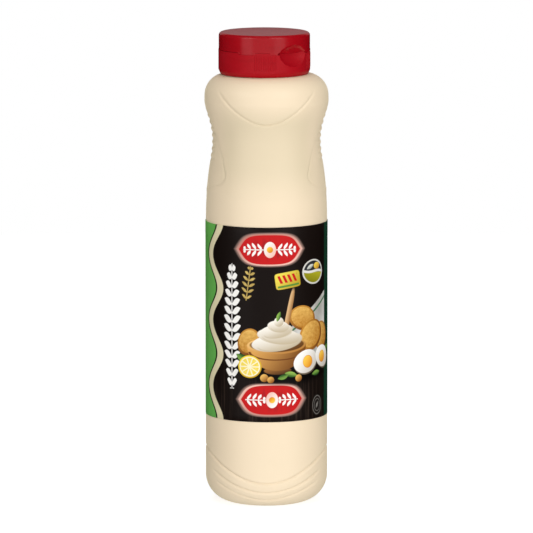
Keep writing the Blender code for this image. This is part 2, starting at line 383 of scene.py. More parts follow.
# %% The rings of the body
def foot_outline():
    """List radius and height from the hollow foot up to the sleeve's seat."""
    outline = [(PUSH_UP_RADIUS * 0.55, PUSH_UP + 0.3), (PUSH_UP_RADIUS, PUSH_UP)]
    outline += [(PUSH_UP_RADIUS + 1.2, 0.5), (FOOT_INNER_RADIUS, 0.0), (FOOT_RADIUS - 2.0, 0.0)]
    for angle in spread(0.0, 90.0, 1.35):
        turn = math.radians(angle)
        radius = FOOT_RADIUS + CORNER_RADIUS * math.sin(turn)
        outline.append((radius, CORNER_RADIUS * (1.0 - math.cos(turn))))
    for height in spread(CORNER_RADIUS, 37.0, 0.38) + spread(37.0, 54.0, 4.0):
        outline.append((BODY_RADIUS, height))
    return outline


def seat_outline():
    """List radius and height through the sleeve's seat."""
    seat = LABEL_RADIUS - LABEL_THICKNESS - SEAT_CLEARANCE
    low, high = LABEL_BOTTOM - SEAT_CLEARANCE, LABEL_TOP + SEAT_CLEARANCE
    edge = 0.12
    outline = [(BODY_RADIUS, low - edge), (BODY_RADIUS - edge, low)]
    outline += [(seat, low), (seat, high), (STATIONS[0][1], high + edge)]
    return outline


def upper_outline():
    """List radius and height from the sleeve up to the cap."""
    outline = []
    heights = spread(LABEL_TOP + 1.0, 188.0, 2.0) + spread(188.0, 211.0, 0.9)
    heights += spread(211.0, SHOULDER_HEIGHT, 0.43)
    for height in heights:
        outline.append((waist_radius(height), height))
    for angle in spread(0.0, 90.0, 2.1) + [90.0]:
        turn = math.radians(angle)
        across = abs(math.cos(turn)) ** (2.0 / SHOULDER_POWER)
        rise = math.sin(turn) ** (2.0 / SHOULDER_POWER)
        radius = SHOULDER_FLAT_RADIUS + (SHOULDER_RADIUS - SHOULDER_FLAT_RADIUS) * across
        outline.append((radius, SHOULDER_HEIGHT + (SHOULDER_TOP - SHOULDER_HEIGHT) * rise))
    outline.append((SHOULDER_FLAT_RADIUS * 0.5, SHOULDER_TOP))
    return outline


body_outline = foot_outline() + seat_outline() + upper_outline()
body = piece_from_rings("bottle_skin", [level_ring(r, z, BODY_COLUMNS) for r, z in body_outline])
body_height = max(height for radius, height in body_outline)
print("the body has", len(body_outline), "rings and stands", round(body_height, 1), "mm high")

# %% [markdown]
# ## Relief pressed into the body
# The mould leaves three kinds of relief. Both sides of the waist carry a
# teardrop panel with level grip ribs and a fine line round its lower end, the
# shoulder has a smile-shaped groove, and three grooves sag round the foot. All
# of it follows a rule in the angle and the height, so Geometry Nodes moves
# each point along its normal, and the sizes stay open as named inputs.
# %% Sizes of the relief
relief_sizes = {
    "Panel Depth": 0.25,
    "Panel Line": 0.44,
    "Panel Half Angle": 44.8,
    "Rib Height": 0.3,
    "Rib Pitch": 4.06,
    "Groove Depth": 0.55,
}
PANEL_BOTTOM, PANEL_WIDEST, PANEL_TOP = 193.6, 203.4, 246.0
PANEL_EDGE, PANEL_END_FADE, PANEL_POINT_POWER = 0.8, 4.0, 1.25
LINE_WIDTH, LINE_FULL, LINE_GONE = 1.3, 208.0, 226.0
GRIP_BOTTOM, GRIP_TOP, GRIP_TIP = 211.5, 244.0, 242.1
GRIP_HALF_ANGLE, GRIP_FADE = 14.0, 8.0
GROOVE_FADE_FROM = 0.76
# Height at the front, rise at the side, angle it runs to, width above and
# below its line, and depth as a share of the named input Groove Depth
GROOVES = (
    (235.3, 32.0, 56.0, 1.3, 0.8, 1.05),
    (16.0, 18.6, 200.0, 1.0, 1.5, 1.5),
    (10.1, 15.6, 66.0, 1.0, 1.5, 1.4),
    (5.2, 14.9, 60.0, 1.0, 1.5, 1.3),
)

# %% The grips' rule
def grip_rule(bench, given, angle, height):
    """Give the relief of both teardrop panels, in millimetres."""
    beside = abs(abs(angle) - 90.0)
    below = bench.most((PANEL_WIDEST - height) / (PANEL_WIDEST - PANEL_BOTTOM), 0.0)
    above = bench.most((height - PANEL_WIDEST) / (PANEL_TOP - PANEL_WIDEST), 0.0)
    round_end = bench.most(1.0 - below * below, 0.0) ** 0.5
    pointed_end = 1.0 - above ** PANEL_POINT_POWER
    half = bench.least(round_end, pointed_end) * bench.wire(given, "Panel Half Angle")
    inside = bench.rise(-PANEL_EDGE, PANEL_EDGE, half - beside)
    ends = bench.between(PANEL_BOTTOM, PANEL_TOP, height, PANEL_END_FADE)
    proud = bench.wire(given, "Panel Depth") * ends
    faint = bench.rise(LINE_GONE, LINE_FULL, height)
    line = bench.rise(LINE_WIDTH, 0.0, abs(half - beside)) * bench.wire(given, "Panel Line") * faint
    turns = (height - GRIP_TIP) / bench.wire(given, "Rib Pitch")
    wave = (turns * 2.0 * math.pi).math("COSINE")
    ribs = wave * bench.wire(given, "Rib Height") * bench.between(GRIP_BOTTOM, GRIP_TOP, height, 1.0)
    ribs = ribs * bench.rise(GRIP_HALF_ANGLE + GRIP_FADE, GRIP_HALF_ANGLE, beside)
    return proud * (1.0 - inside) + ribs * inside - line


# %% The grooves' rule
def groove_rule(bench, angle, height, radius, level, groove):
    """Give how deep one groove is at a point, as a share of the depth."""
    front, rise, reach, above, below, depth = groove
    turn = angle * math.radians(1.0)
    sine = turn.math("SINE")
    slope = (turn * 2.0).math("SINE") * rise / radius
    lean = (slope * slope + 1.0) ** -0.5
    off = (height - front - sine * sine * rise) * lean / level
    across = bench.most(off / above, off / -below)
    cut = bench.most(1.0 - across, 0.0)
    beside = 90.0 - abs(abs(angle) - 90.0)
    return cut * (1.0 - bench.rise(reach * GROOVE_FADE_FROM, reach, beside)) * depth


# %% The tree that presses the relief in
def relief_tree():
    """Build the rule that moves the body's points along their normals."""
    bench, given = new_rule("moulded relief", relief_sizes)
    x, y, z = (part / MM for part in bench.parts(bench.take("GeometryNodeInputPosition")))
    normal = bench.take("GeometryNodeInputNormal")
    radius = bench.most((x * x + y * y) ** 0.5, 1.0)
    angle = x.math("ARCTAN2", -y) * math.degrees(1.0)
    steep = bench.parts(normal)[2]
    level = bench.most(1.0 - steep * steep, 0.05) ** 0.5
    deepest = groove_rule(bench, angle, z, radius, level, GROOVES[0])
    for groove in GROOVES[1:]:
        deepest = bench.most(deepest, groove_rule(bench, angle, z, radius, level, groove))
    relief = grip_rule(bench, given, angle, z) - deepest * bench.wire(given, "Groove Depth")
    sockets = {0: normal, "Scale": relief * MM}
    step = bench.take("ShaderNodeVectorMath", {"operation": "SCALE"}, sockets)
    moved = bench.take("GeometryNodeSetPosition", None, {0: bench.wire(given), "Offset": step})
    finish_rule(bench, given, moved)
    return bench


cream, cream_bench, cream_shader = new_finish("cream polyethylene", 0.42)
apply_rule(body, relief_tree(), relief_sizes, cream)
smooth_piece(body)
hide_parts("bottle")
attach(body, "root")

# %% [markdown]
# ## The sleeve
# The label is one printed film that goes right round. It lies in its seat and
# stands 0.1 mm proud of the body at its foot and 0.35 mm at its head. A thin
# closed tube with softened edges is all that it needs: what makes it is the
# print, which comes with the materials.
# %% Make the sleeve
def sleeve_rings():
    """List the rings of a thin tube, round its section."""
    edge = 0.08
    outer, inner = LABEL_RADIUS, LABEL_RADIUS - LABEL_THICKNESS
    section = [(outer - edge, LABEL_BOTTOM), (outer, LABEL_BOTTOM + edge)]
    for height in spread(LABEL_BOTTOM + 4.0, LABEL_TOP - 4.0, 6.0):
        section.append((outer, height))
    section += [(outer, LABEL_TOP - edge), (outer - edge, LABEL_TOP)]
    section += [(inner, LABEL_TOP), (inner, LABEL_BOTTOM)]
    return [level_ring(r, z, BODY_COLUMNS) for r, z in section]


sleeve = piece_from_rings("label_sleeve", sleeve_rings(), capped=False)
smooth_piece(sleeve, 50.0)
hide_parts("label")
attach(sleeve, "root")

# %% [markdown]
# ## The cap
# The cap is two mouldings. The skirt stays on the bottle; the lid flips up
# from it. Their parting line isn't straight: short lips hang down beside the
# ribs, and a thumb recess, deepest at the parting line, takes a bite out of
# both. The pattern mirrors itself in the plane through that recess. The gap
# at the parting line is a fraction of a millimetre, and so is the crown of the
# lid's top.
# %% Rules that both halves of the cap follow
CAP_COLUMNS = [360.0 * i / 480 for i in range(480)]


def from_recess(angle):
    """Give the angle from the middle of the recess, in -180 to 180 degrees."""
    return (angle - THUMB_ANGLE + 180.0) % 360.0 - 180.0


def side_angle(angle):
    """Fold an angle over the plane through the recess, onto one side of it."""
    return THUMB_ANGLE - abs(from_recess(angle))


def parting_height(angle):
    """Give the height of the line where the lid meets the skirt."""
    drop = max(window(low, high, side_angle(angle), LIP_FADE) for low, high in LIP_ZONES)
    tab = max(0.0, 1.0 - (from_recess(angle) / THUMB_HALF_ANGLE) ** 2)
    return PARTING - LIP_DROP * drop - TAB_DROP * tab


def parting_gap(angle):
    """Give the gap below the lid, which closes tight beside the ribs."""
    tight = smooth_step(LOOSE_UP_TO, TIGHT_FROM, side_angle(angle))
    return LOOSE_GAP + (TIGHT_GAP - LOOSE_GAP) * tight


def lid_dent(angle, height):
    """Give the recess in the lid: an arch, steep under its upper edge."""
    across = abs(from_recess(angle) / THUMB_HALF_ANGLE)
    up = (height - PARTING) / THUMB_RISE
    return LID_SCOOP * max(0.0, 1.0 - across ** ARCH_POWER - up) ** LID_SCOOP_POWER


def skirt_dent(angle, height):
    """Give the recess in the skirt: half a bowl, open at the parting line."""
    across = from_recess(angle) / THUMB_HALF_ANGLE
    up = (height - PARTING) / THUMB_DROP
    return SKIRT_SCOOP * max(0.0, 1.0 - across * across - up * up) ** SKIRT_SCOOP_POWER


def cap_ring(heights, radius_rule, inset=0.0):
    """Make a ring of the cap: a height for each column, a rule for the radius."""
    ring = []
    for angle, height in zip(CAP_COLUMNS, heights):
        ring.append(round_point(radius_rule(angle, height) - inset, angle, height, CAP_X))
    return ring


# %% The skirt
def skirt_radius(angle, height):
    """Give the skirt's radius, with its chamfer, rib field and recess."""
    chamfer = max(0.0, 1.0 - (height - CAP_BOTTOM) / CHAMFER_HEIGHT) ** CHAMFER_POWER
    low, high = RIB_ZONE[0] - RIB_FIELD_MARGIN, RIB_ZONE[1] + RIB_FIELD_MARGIN
    field = window(low, high, side_angle(angle), RIB_SIDE_FADE)
    field *= window(CAP_BOTTOM + RIB_FIELD_FOOT, PARTING - RIB_FIELD_HEAD, height, RIB_END_FADE)
    radius = SKIRT_RADIUS - CHAMFER_DEPTH * chamfer - RIB_FIELD_DEPTH * field
    return radius - skirt_dent(angle, height)


def skirt_rings():
    """List the skirt's rings from its underside to its hidden top."""
    inner = SKIRT_RADIUS - CHAMFER_DEPTH
    rings = []
    for inset, rise in ((0.6, 0.3), (0.12, -0.25), (0.04, -0.2)):
        rings.append(level_ring(inner - inset, CAP_BOTTOM + rise, CAP_COLUMNS, CAP_X))
    tops = [parting_height(angle) - parting_gap(angle) for angle in CAP_COLUMNS]
    shares = [0.0, 0.02, 0.04] + spread(0.07, 0.22, 0.03) + spread(0.22, 1.0, 0.024) + [1.0]
    for share in shares:
        rings.append(cap_ring([CAP_BOTTOM + (top - CAP_BOTTOM) * share for top in tops], skirt_radius))
    for inset in (0.05, 4.0):
        rings.append(cap_ring(tops, skirt_radius, inset))
    return rings


satin_red, satin_bench, satin_shader = new_finish("satin red polypropylene", 0.4)
glossy_red, glossy_bench, glossy_shader = new_finish("glossy red polypropylene", 0.2)
skirt = piece_from_rings("cap_skirt", skirt_rings())
skirt.data.materials.append(satin_red)

# %% The lid
def lid_radius(angle, height):
    """Give the lid's radius, with its part of the recess."""
    return LID_RADIUS - lid_dent(angle, height)


def lid_rings():
    """List the lid's rings from its hidden underside to its crowned top."""
    bottoms = [parting_height(angle) for angle in CAP_COLUMNS]
    rings = []
    for inset, rise in ((6.0, 0.0), (-0.02, 0.0), (-0.1, 0.06), (-0.1, 0.2), (-0.04, 0.5)):
        rings.append(cap_ring([bottom + rise for bottom in bottoms], lid_radius, inset))
    rim = CAP_TOP - LID_CROWN / 2
    wall_top = rim - LID_EDGE_RADIUS
    for share in spread(0.1, 1.0, 0.045):
        rings.append(cap_ring([bottom + (wall_top - bottom) * share for bottom in bottoms], lid_radius))
    for degrees in spread(0.0, 90.0, 15.0) + [90.0]:
        turn = math.radians(degrees)
        radius = LID_RADIUS - LID_EDGE_RADIUS * (1.0 - math.cos(turn))
        height = rim - LID_EDGE_RADIUS * (1.0 - math.sin(turn))
        rings.append(level_ring(radius, height, CAP_COLUMNS, CAP_X))
    flat = LID_RADIUS - LID_EDGE_RADIUS
    for share in [0.97] + [i / 10 for i in range(9, 0, -1)]:
        height = rim + LID_CROWN * (1.0 - share * share)
        rings.append(level_ring(flat * share, height, CAP_COLUMNS, CAP_X))
    return rings


lid = piece_from_rings("cap_lid_shell", lid_rings())
lid.data.materials.append(glossy_red)
smooth_piece(lid, 40.0)
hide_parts("cap_lid")
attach(lid, "root")

# %% [markdown]
# ## The skirt's ribs
# Two short fields of fine upright ribs give the hand a hold. They repeat, so
# Geometry Nodes makes one rounded bar, puts a copy at each angle of the first
# field and of its mirror image, and turns each to face outwards.
# %% Sizes of the ribs
rib_sizes = {
    "Count": RIB_COUNT,
    "Radius": (SKIRT_RADIUS - RIB_FIELD_DEPTH - RIB_SINK) * MM,
    "Rib Radius": RIB_RADIUS * MM,
    "Rib Length": RIB_LENGTH * MM,
    "Foot": (CAP_BOTTOM + RIB_FIELD_FOOT + 0.1) * MM,
}

# %% The tree that sets the ribs round the skirt
def rounded_bar(bench, given):
    """Build one upright bar that rounds off at both ends."""
    top = bench.vector(z=bench.wire(given, "Rib Length"))
    line = bench.take("GeometryNodeCurvePrimitiveLine", None, {"End": top})
    line = bench.take("GeometryNodeResampleCurve", None, {"Curve": line, "Count": 9})
    along = bench.take("GeometryNodeSplineParameter")
    plump = bench.most(along * (1.0 - along) * 16.0, 0.04)
    plump = bench.least(plump, 1.0) ** 0.5
    sockets = {"Resolution": 10, "Radius": bench.wire(given, "Rib Radius")}
    ring = bench.take("GeometryNodeCurvePrimitiveCircle", None, sockets)
    sockets = {"Curve": line, "Profile Curve": ring, "Fill Caps": True, "Scale": plump}
    return bench.take("GeometryNodeCurveToMesh", None, sockets)


def rib_tree():
    """Build the rule that sets upright bars round the skirt."""
    bench, given = new_rule("skirt ribs", rib_sizes)
    count, radius, foot = (bench.wire(given, size) for size in ("Count", "Radius", "Foot"))
    points = bench.take("GeometryNodePoints", None, {"Count": count * 2.0})
    index = bench.take("GeometryNodeInputIndex")
    step = (RIB_ZONE[1] - RIB_ZONE[0]) / (count - 1.0)
    second = (index / count).math("FLOOR")
    first = (index - second * count) * step + RIB_ZONE[0]
    mirrored = 2.0 * THUMB_ANGLE - first
    turn = (first * (1.0 - second) + mirrored * second) * math.radians(1.0)
    x = turn.math("SINE") * radius + CAP_X * MM
    y = turn.math("COSINE") * radius * -1.0
    sockets = {0: points, "Position": bench.vector(x, y, foot)}
    points = bench.take("GeometryNodeSetPosition", None, sockets)
    sockets = {"Points": points, "Instance": rounded_bar(bench, given), "Rotation": bench.vector(z=turn)}
    finish_rule(bench, given, bench.take("GeometryNodeInstanceOnPoints", None, sockets))
    return bench


ribs = keep_mesh("cap_skirt_ribs", bmesh.new())
apply_rule(ribs, rib_tree(), rib_sizes, satin_red)
smooth_piece(ribs, 60.0)
smooth_piece(skirt, 40.0)
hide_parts("cap_base")
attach(skirt, "root")
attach(ribs, "root")

# %% [markdown]
# ## The hinge strap
# The photograph shows the front alone, but a lid that flips has a hinge, and
# this one sits opposite the thumb recess: a springy strap that bows over the
# parting line, with a short film hinge on each side of it. Each is a small
# closed slab bent round the cap, thicker in its middle.
# %% Slabs bent round the cap
HINGE_ANGLE = THUMB_ANGLE + 180.0
SLAB_STEPS, SLAB_SINK = 12, 0.4
# Angle from the middle, half angle, reach below and above the parting line,
# and thickness
HINGE_SLABS = (
    (0.0, 7.0, 4.2, 4.4, 0.85),
    (-13.5, 3.6, 1.6, 1.2, 0.45),
    (13.5, 3.6, 1.6, 1.2, 0.45),
)


def bent_slab(skin, middle, half_angle, bottom, top, thickness):
    """Add a closed slab that follows the cap's wall and swells outwards."""
    last = SLAB_STEPS
    sheets = []
    for outside in (0.0, 1.0):
        sheet = []
        for j in range(last + 1):
            row = []
            for i in range(last + 1):
                s, t = 2.0 * i / last - 1.0, 2.0 * j / last - 1.0
                swell = max(0.0, (1.0 - s ** 4) * (1.0 - t ** 4)) ** 0.5
                radius = LID_RADIUS - SLAB_SINK + outside * (SLAB_SINK + thickness * swell)
                height = bottom + (top - bottom) * j / last
                point = round_point(radius, middle + half_angle * s, height, CAP_X)
                row.append(skin.verts.new(point))
            sheet.append(row)
        sheets.append(sheet)
    inner, outer = sheets
    for j in range(last):
        for i in range(last):
            for sheet in sheets:
                skin.faces.new((sheet[j][i], sheet[j][i + 1], sheet[j + 1][i + 1], sheet[j + 1][i]))
    rim = [(0, i) for i in range(last)] + [(j, last) for j in range(last)]
    rim += [(last, i) for i in range(last, 0, -1)] + [(j, 0) for j in range(last, 0, -1)]
    for (j, i), (n, m) in zip(rim, rim[1:] + rim[:1]):
        skin.faces.new((inner[j][i], inner[n][m], outer[n][m], outer[j][i]))


strap = bmesh.new()
for offset, half_angle, below, above, thickness in HINGE_SLABS:
    bent_slab(strap, HINGE_ANGLE + offset, half_angle, PARTING - below, PARTING + above, thickness)
bmesh.ops.recalc_face_normals(strap, faces=strap.faces[:])
hinge = keep_mesh("cap_hinge_strap", strap)
hinge.data.materials.append(satin_red)
smooth_piece(hinge, 40.0)
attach(hinge, "root")

# %% [markdown]
# ## Tools for a print
# The sleeve is printed in flat and shaded fields of ink. Each field is a mask
# laid over what is already there, the way a printer lays one ink over
# another, so a small class keeps the colour so far and adds layers to it. A
# Mapping node brings each shape into a frame of its own, where its edge lies
# at a distance of 1, and that keeps a shape down to a few nodes.
# %% Layers of ink
SOFT = 0.16


class Print:
    """A printed surface: layers of colour over a ground, placed in millimetres."""

    def __init__(self, bench, point, ground):
        self.bench = bench
        self.point = point
        self.color = ground

    def mixed(self, share, first, second):
        """Blend two colours, each a wire or three numbers."""
        sockets = {0: share}
        for key, color in ((6, first), (7, second)):
            sockets[key] = color if isinstance(color, Wire) else paint(color)
        return self.bench.take("ShaderNodeMix", {"data_type": "RGBA"}, sockets, 2)

    def lay(self, color, mask):
        """Print one colour where the mask is 1."""
        self.color = self.mixed(mask, self.color, color)

    def local(self, place, size, turn=0.0):
        """Bring the surface's points into the frame of one shape."""
        sockets = {"Vector": self.point, "Location": (*place, 0.0), "Scale": (*size, 1.0)}
        sockets["Rotation"] = (0.0, 0.0, math.radians(turn))
        return self.bench.take("ShaderNodeMapping", {"vector_type": "TEXTURE"}, sockets)

    def split(self, vector):
        """Take a vector's first two parts."""
        return self.bench.parts(vector)[:2]

    def length(self, vector):
        """Measure a vector."""
        settings = {"operation": "LENGTH"}
        return self.bench.take("ShaderNodeVectorMath", settings, {0: vector}, "Value")

    def slope(self, vector, direction):
        """Rise from 0 to 1 across a shape, in one direction of its frame."""
        settings, sockets = {"operation": "DOT_PRODUCT"}, {0: vector, 1: (*direction, 0.0)}
        along = self.bench.take("ShaderNodeVectorMath", settings, sockets, "Value")
        return self.bench.rise(-1.0, 1.0, along)

    def inside(self, distance, edge, size):
        """Be 1 where a distance is below its edge, with a soft printed rim."""
        return self.bench.rise(edge + SOFT / size, edge - SOFT / size, distance)

    def noise(self, scale, detail=3.0, roughness=0.5):
        """Take a noise from 0 to 1, with its scale for each direction in 1/mm."""
        sockets = {"Vector": self.point, "Scale": (*scale, 1.0)}
        stretched = self.bench.take("ShaderNodeMapping", None, sockets)
        sockets = {"Vector": stretched, "Scale": 1.0, "Detail": detail, "Roughness": roughness}
        return self.bench.take("ShaderNodeTexNoise", {"noise_dimensions": "2D"}, sockets)


# %% Shapes in ink
def oval(ink, place, size, turn=0.0):
    """Give an oval's distance, which is 1 at its edge, and its own frame."""
    frame_of = ink.local(place, size, turn)
    return ink.length(frame_of), frame_of


def ball(ink, place, size, dark, light, turn=0.0, lit=(-0.5, 0.6), fade=None):
    """Print an oval that is shaded from its dark side to its lit side."""
    distance, frame_of = oval(ink, place, size, turn)
    share = ink.slope(frame_of, lit)
    if fade is not None:
        share = share + fade
    ink.lay(ink.mixed(share, dark, light), ink.inside(distance, 1.0, min(size)))


def box(ink, place, size, turn=0.0, power=4.0):
    """Give a rounded box's distance, which is 1 at its edge, and its frame."""
    frame_of = ink.local(place, size, turn)
    x, y = ink.split(frame_of)
    return (abs(x) ** power + abs(y) ** power) ** (1.0 / power), frame_of


def leaf(ink, place, length, width, turn, dark, light):
    """Print one pointed leaf with a pale rib along its middle."""
    x, y = ink.split(ink.local(place, (length / 2, width / 2), turn))
    away = abs(y) + x * x
    ink.lay(ink.mixed(ink.bench.rise(-1.0, 1.0, y), dark, light), ink.inside(away, 1.0, width / 2))
    rib = ink.inside(abs(y), 0.06, width / 2) * ink.inside(abs(x), 0.8, length / 2)
    ink.lay(light, rib * 0.7)


def garland(ink, place, half_length, half_width, turn, pitch, plump, slant=0.55):
    """Give the mask of a stem with slanted leaves in pairs, tapering to both ends."""
    x, y = ink.split(ink.local(place, (1.0, 1.0), turn))
    along = x / half_length
    taper = ink.bench.most(1.0 - along * along, 0.0) ** 0.5
    reach = abs(y) / ink.bench.most(taper * half_width, 0.05)
    beside = abs(((x - abs(y) * slant) / pitch).math("FRACT") - 0.5)
    leaves = ink.bench.rise(0.0, 2.0 * SOFT / pitch, reach * (1.0 - reach) * plump - beside)
    stem = ink.inside(abs(y), 0.3, 1.0)
    return ink.bench.most(leaves, stem) * ink.inside(abs(along), 0.96, half_length)


# %% [markdown]
# ## The print's fields
# The sheet is nearly black, like stained wood, with the grain showing faintly
# towards its foot. At its left a green field ends in a wavy cream band with a
# dark outline, and the green comes back darker beyond the right side. The
# wave is one cosine of the height. The point that every shape starts from is
# unrolled: millimetres round the bottle from the middle of the front, and
# millimetres up.
# %% Inks
BLACK_INK = linear(22, 14, 11)
GRAIN_INK = linear(58, 46, 38)
GREEN_INK = linear(103, 182, 82)
DEEP_GREEN_INK = linear(20, 62, 42)
CREAM_INK = linear(226, 215, 176)
RED_INK = linear(197, 9, 13)
DARK_RED_INK = linear(160, 14, 22)
ROSE_INK = linear(236, 190, 174)
DULL_ROSE_INK = linear(190, 122, 110)
WHITE_INK = linear(246, 243, 238)
GREY_INK = linear(132, 128, 122)

# %% Ground, wave and grain
WAVE_CENTRE, WAVE_SWING, WAVE_LENGTH, WAVE_CREST = -37.1, 5.2, 40.5, 94.5
BAND_WIDTH, OUTLINE_WIDTH = 5.6, 1.4
PANEL_RIGHT, BACK_SEAM = 45.5, math.pi * LABEL_RADIUS
GRAIN_FULL, GRAIN_GONE = 60.0, 120.0


def unrolled_point(bench):
    """Unroll the sleeve into millimetres round and millimetres up."""
    x, y, z = bench.parts(bench.take("ShaderNodeTexCoord", output="Object"))
    around = x.math("ARCTAN2", -y) * LABEL_RADIUS
    up = z / MM
    return around, up, bench.vector(around, up)


def print_fields(ink, around, up):
    """Lay the ground, the green fields, the wave and the wood grain."""
    bench = ink.bench
    grain = bench.rise(0.5, 0.75, ink.noise((0.55, 0.012), 4.0, 0.6))
    ink.lay(GRAIN_INK, grain * bench.rise(GRAIN_GONE, GRAIN_FULL, up) * 0.8)
    swing = ((up - WAVE_CREST) * (2.0 * math.pi / WAVE_LENGTH)).math("COSINE")
    across = around - (swing * WAVE_SWING + WAVE_CENTRE)
    deep = ink.inside(-around, -PANEL_RIGHT, 1.0)
    ink.lay(DEEP_GREEN_INK, deep)
    shade = ink.noise((0.05, 0.05), 2.0)
    ink.lay(ink.mixed(shade * 0.14, GREEN_INK, DEEP_GREEN_INK), ink.inside(across, -BAND_WIDTH / 2, 1.0))
    ink.lay(BLACK_INK, ink.inside(abs(across + (BAND_WIDTH + OUTLINE_WIDTH) / 2), OUTLINE_WIDTH / 2, 1.0))
    ink.lay(CREAM_INK, ink.inside(abs(across), BAND_WIDTH / 2, 1.0))
    return deep


film, film_bench, film_shader = new_finish("printed film", 0.42)
set_sockets(film_shader, {"Specular IOR Level": 0.2})
around_mm, up_mm, sheet_point = unrolled_point(film_bench)
ink = Print(film_bench, sheet_point, BLACK_INK)
deep_field = print_fields(ink, around_mm, up_mm)
print("the ground of the print takes", len(film_bench.tree.nodes), "nodes")

# %% [markdown]
# ## Plaques and ornaments
# Where the front wants accents of red, two six-sided plaques with a rose
# border and a soft halo stand at the head and the foot of the panel, the
# lower one turned over so that it reads the right way up on a shelf where
# the bottle stands on its cap. A white garland runs up the panel and a small
# gold one beside it. They are ornaments only and say nothing.
# %% Plaques
PLAQUE_HALF = (21.0, 9.7)
PLAQUE_HEAD, PLAQUE_FOOT = (2.1, 160.2), (3.4, 68.0)


def plaque(ink, place, turn):
    """Print one plaque with its halo, border, fill and leaf ornament."""
    bench = ink.bench
    frame_of = ink.local(place, PLAQUE_HALF, turn)
    x, y = ink.split(frame_of)
    flat = abs(y) ** 5.0
    pointed = (abs(x) + abs(y) * 0.3) ** 5.0
    distance = (flat + pointed) ** 0.2
    ink.lay(ROSE_INK, bench.rise(1.13, 1.0, distance) * 0.42)
    border = ink.mixed(ink.slope(frame_of, (0.4, -0.7)), DULL_ROSE_INK, ROSE_INK)
    ink.lay(border, ink.inside(distance, 1.01, PLAQUE_HALF[1]))
    weave = bench.rise(0.45, 0.7, ink.noise((0.35, 0.12), 2.0))
    fill = ink.mixed(weave * bench.rise(0.95, 0.2, distance), RED_INK, DARK_RED_INK)
    ink.lay(fill, ink.inside(distance, 0.93, PLAQUE_HALF[1]))
    for side in (-1.0, 1.0):
        spot = (place[0] + side * 10.2, place[1])
        lean = turn + (0.0 if side > 0 else 180.0)
        ink.lay(WHITE_INK, garland(ink, spot, 6.6, 4.4, lean, 3.3, 1.35))
    rim, rim_frame = oval(ink, place, (3.7, 4.9), turn)
    ink.lay(ink.mixed(ink.slope(rim_frame, (-0.5, 0.6)), ROSE_INK, WHITE_INK), ink.inside(rim, 1.0, 3.7))
    ball(ink, place, (1.9, 1.9), linear(214, 132, 20), linear(252, 200, 62), turn)


plaque(ink, PLAQUE_HEAD, 0.0)
plaque(ink, PLAQUE_FOOT, 180.0)

# %% Garlands, tag, seal and ring
def tag(ink):
    """Print the small yellow tag with plain red bars and a green foot."""
    place, half, turn = (13.4, 141.4), (8.1, 5.0), 8.0
    distance, frame_of = box(ink, place, half, turn, 8.0)
    x, y = ink.split(frame_of)
    yellow = ink.mixed(ink.slope(frame_of, (-0.6, 0.5)), linear(186, 158, 34), linear(234, 214, 78))
    ink.lay(yellow, ink.inside(distance, 1.0, half[1]))
    bars = ink.inside(abs((x * 2.6 + y * 0.5).math("FRACT") - 0.5), 0.27, 3.0)
    middle = ink.inside(abs(y - 0.2), 0.48, half[1]) * ink.inside(abs(x), 0.78, half[0])
    ink.lay(RED_INK, bars * middle)
    foot = ink.inside(abs(y + 0.68), 0.12, half[1]) * ink.inside(abs(x), 0.86, half[0])
    ink.lay(linear(86, 138, 52), foot)


def seal(ink):
    """Print the round seal: white rim, grey head, olive foot, a gold oval and a leaf."""
    place, half, turn = (32.6, 145.2), (9.4, 7.6), -6.0
    distance, frame_of = oval(ink, place, half, turn)
    x, y = ink.split(frame_of)
    ink.lay(linear(214, 212, 204), ink.inside(distance, 1.0, half[1]))
    olive = ink.mixed(ink.slope(frame_of, (0.3, 0.8)), linear(128, 124, 10), linear(206, 200, 40))
    fill = ink.mixed(ink.inside(y, -0.02, 8.0), linear(44, 46, 50), olive)
    ink.lay(fill, ink.inside(distance, 0.88, half[1]))
    wave = abs(y - (x * 3.0).math("SINE") * 0.08 - 0.03)
    band = ink.inside(wave, 0.1, 8.0) * ink.inside(distance, 0.9, half[1])
    ink.lay(linear(226, 224, 218), band)
    ball(ink, (35.6, 148.6), (2.8, 2.1), linear(200, 140, 30), linear(250, 214, 80))
    leaf(ink, (29.6, 148.4), 6.4, 2.4, 24.0, linear(150, 156, 150), linear(222, 224, 214))


def double_ring(ink):
    """Print the faint double ring with its small leaf near the foot."""
    place = (36.3, 62.6)
    distance = oval(ink, place, (4.7, 6.0))[0]
    outer = ink.inside(abs(distance - 0.94), 0.05, 5.0)
    inner = ink.inside(abs(distance - 0.62), 0.035, 5.0)
    ink.lay(GREY_INK, ink.bench.most(outer, inner) * 0.75)
    leaf(ink, place, 4.6, 2.0, 60.0, linear(92, 88, 84), GREY_INK)


tag(ink)
seal(ink)
double_ring(ink)
ink.lay(WHITE_INK, garland(ink, (-22.3, 112.6), 40.0, 6.3, 90.0, 5.4, 1.7))
gold = ink.mixed(ink.noise((0.4, 0.4)), linear(140, 108, 40), linear(232, 204, 120))
ink.lay(gold, garland(ink, (-11.2, 139.4), 11.0, 4.3, 82.0, 3.6, 1.2))
print("with its ornaments the print takes", len(film_bench.tree.nodes), "nodes")

# %% [markdown]
# ## The still life
# The lower middle of the front carries a picture of food in warm golds and
# creams. Ours is a plain still life of what the sauce is made from and goes
# with: a wooden bowl heaped with it, a wooden spoon, toasted rounds, halved
# eggs, lemon and a few leaves, on a dark board with a pale folded cloth
# behind. It is printed from the back to the front, shape by shape.
# %% Cloth, shadow and toasts
BOWL = (7.0, 101.0)


